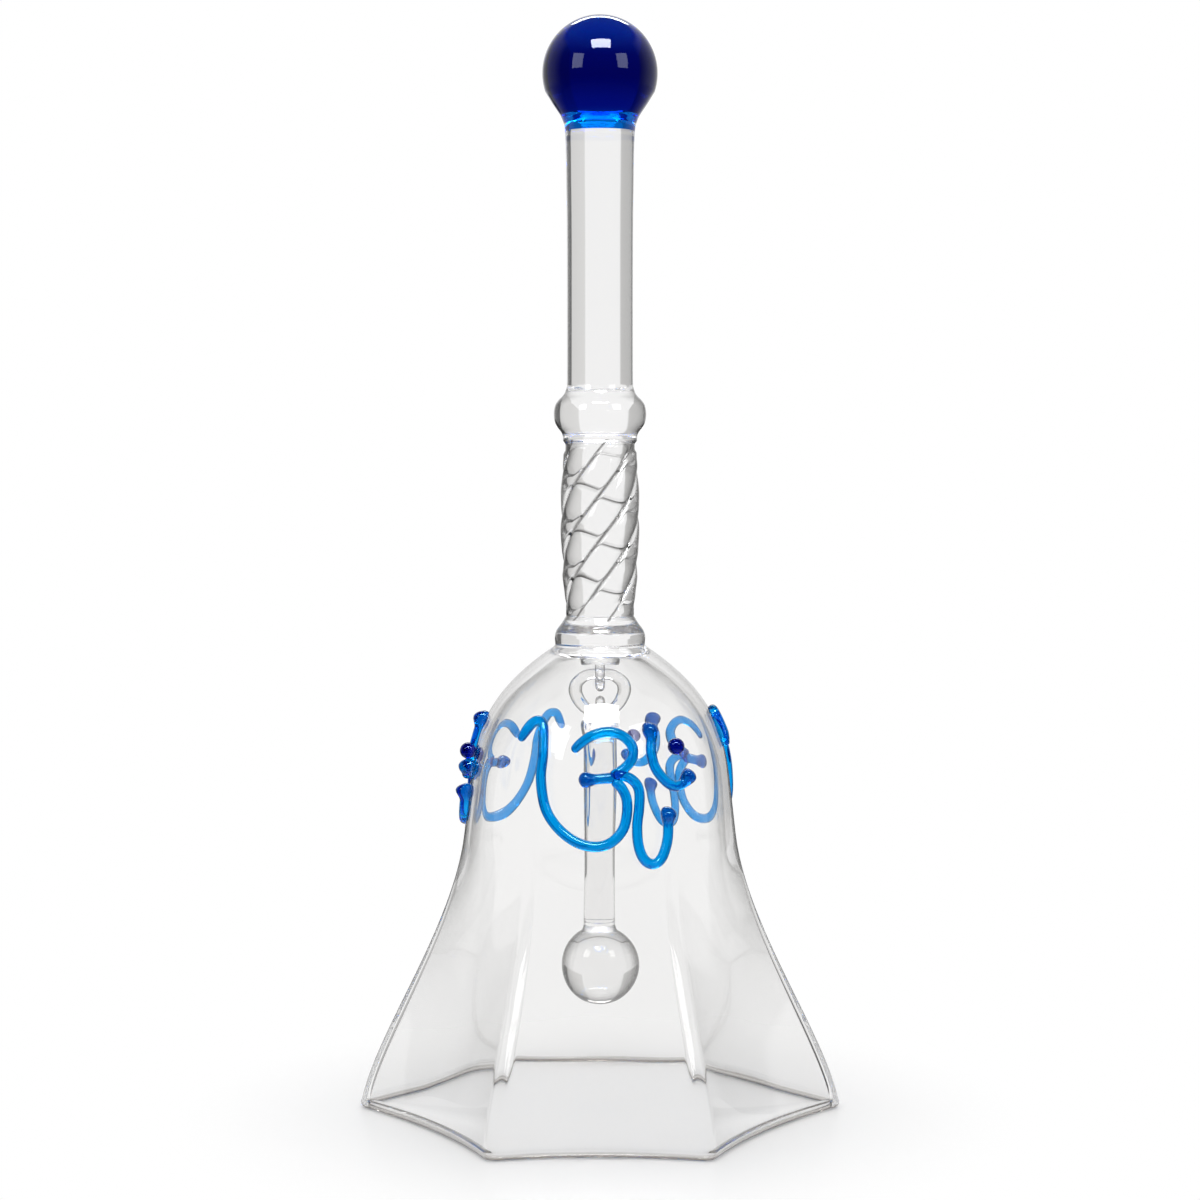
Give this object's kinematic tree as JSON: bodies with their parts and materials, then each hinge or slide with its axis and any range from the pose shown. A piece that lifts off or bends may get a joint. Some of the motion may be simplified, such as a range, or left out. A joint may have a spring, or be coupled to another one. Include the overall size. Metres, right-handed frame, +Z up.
{
  "type": "glass prayer bell",
  "caption": "Clear glass hand bell: round dome flaring to a scalloped hexagonal mouth, twisted handle with a ball finial, a clapper hung on a glass link, and blue glass signs laid on the shell.",
  "frame": {"origin": "centre of the mouth, on the plane that the rim stands on", "axes": "+Z up along the handle, -Y out of the front panel with the first sign, +X to the right of someone facing that sign"},
  "size_m": [0.0886, 0.0774, 0.2],
  "materials": {
    "clear_glass": "colourless borosilicate glass, fire-polished, smooth and brilliant",
    "azure_glass": "transparent azure blue glass rod, fire-polished",
    "cobalt_glass": "deep cobalt blue glass, fire-polished, nearly opaque where thick"
  },
  "bodies": {
    "bell": {"bell_shell": "clear_glass", "lower_collar": "clear_glass", "twist_strand_1": "clear_glass", "twist_strand_2": "clear_glass", "twist_strand_3": "clear_glass", "twist_strand_4": "clear_glass", "twist_strand_5": "clear_glass", "twist_strand_6": "clear_glass", "handle_knop": "clear_glass", "grip_rod": "clear_glass", "ball_finial": "cobalt_glass", "crown_stub": "clear_glass", "crown_eye": "clear_glass", "front_sweep": "azure_glass", "front_curl": "azure_glass", "front_bar": "azure_glass", "front_tail": "azure_glass", "front_crescent": "azure_glass", "front_dot": "cobalt_glass", "right_sweep": "azure_glass", "right_curl": "azure_glass", "right_bar": "azure_glass", "right_tail": "azure_glass", "right_crescent": "azure_glass", "right_dot": "cobalt_glass", "left_sweep": "azure_glass", "left_curl": "azure_glass", "left_bar": "azure_glass", "left_tail": "azure_glass", "left_crescent": "azure_glass", "left_dot": "cobalt_glass"},
    "link": {"hanger_link": "clear_glass"},
    "clapper": {"clapper_eye": "clear_glass", "clapper_rod": "clear_glass", "clapper_ball": "clear_glass"}
  },
  "joints": [
    {"name": "link_swing", "type": "hinge", "parent": "bell", "child": "link", "pos_m": [0, 0, 0.0781], "axis": [0, 1, 0], "range_deg": [-10, 10]},
    {"name": "clapper_swing", "type": "hinge", "parent": "link", "child": "clapper", "pos_m": [0, 0, 0.0735], "axis": [1, 0, 0], "range_deg": [-23, 23]}
  ]
}
